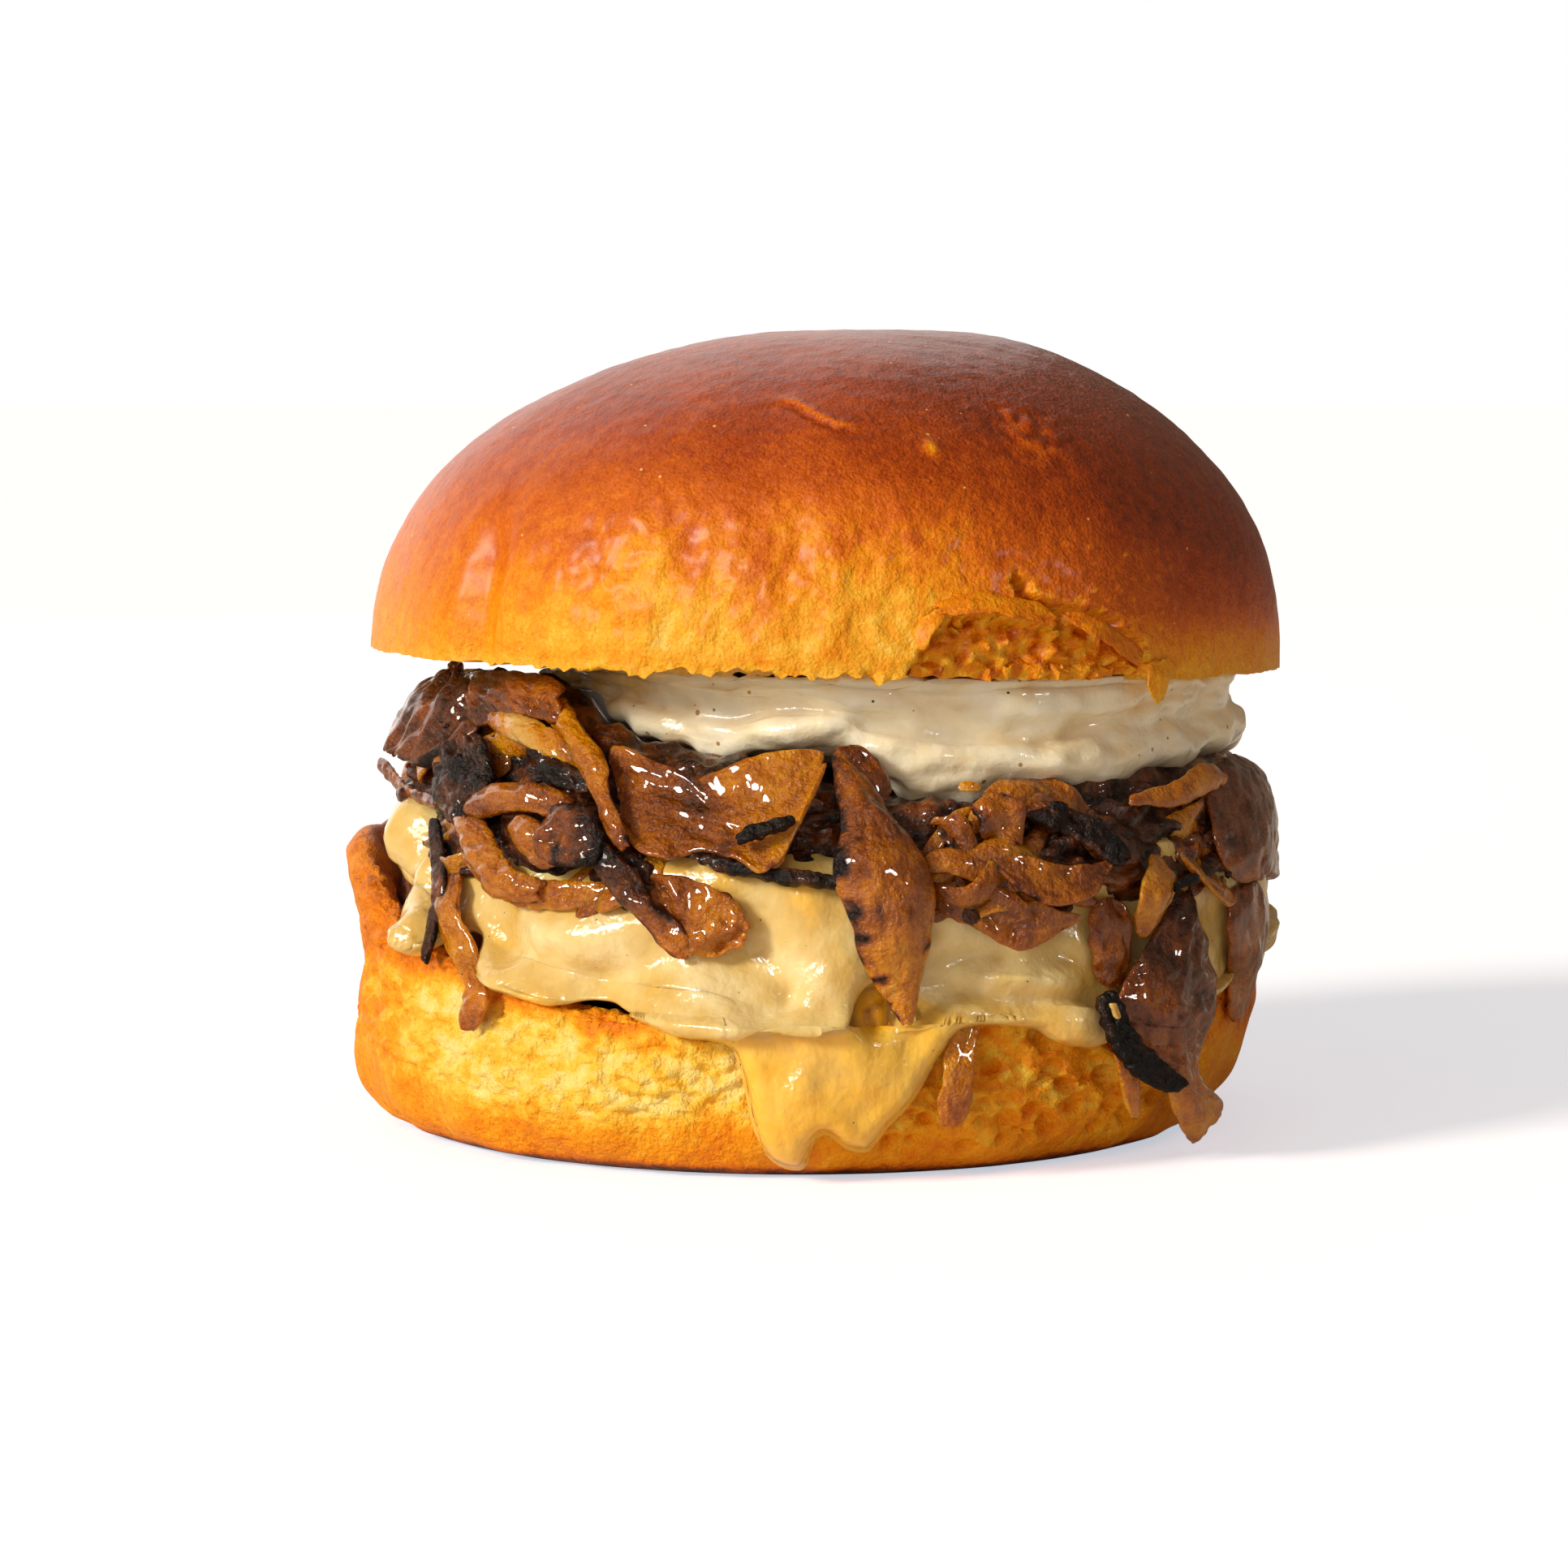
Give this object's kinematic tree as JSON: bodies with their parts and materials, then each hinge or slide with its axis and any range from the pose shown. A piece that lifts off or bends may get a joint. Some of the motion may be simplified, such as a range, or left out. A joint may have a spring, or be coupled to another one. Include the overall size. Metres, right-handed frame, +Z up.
{
  "type": "truffle burger",
  "caption": "Round burger in a domed brioche bun with a beef patty, melted cheese dripping over the heel, dark fried onions and truffle mayonnaise.",
  "frame": {"origin": "centre of the burger's bounding box, on the table", "axes": "+Z up; -Y is the front, the side where the cheese drips; +X to the right seen from the front"},
  "size_m": [0.114, 0.117, 0.0952],
  "materials": {
    "heel_crumb": "soft torn brioche crumb, yellow, browned to gold along the foot",
    "grilled_beef": "coarse grilled minced beef, dark brown and moist",
    "melted_cheese": "melted cheese, pale cream yellow, wet gloss",
    "fried_onion": "fried onion, amber to dark brown with black charred edges, oily gloss",
    "truffle_mayonnaise": "off-white mayonnaise with small brown truffle specks, soft gloss",
    "crown_crust": "glazed brioche crust, chestnut on top to golden at the rim, satin gloss"
  },
  "bodies": {
    "root": {"bun_heel": "heel_crumb", "patty": "grilled_beef", "cheese": "melted_cheese", "onions": "fried_onion", "onion_low_shred": "fried_onion", "truffle_mayo": "truffle_mayonnaise", "bun_crown": "crown_crust"}
  },
  "joints": []
}
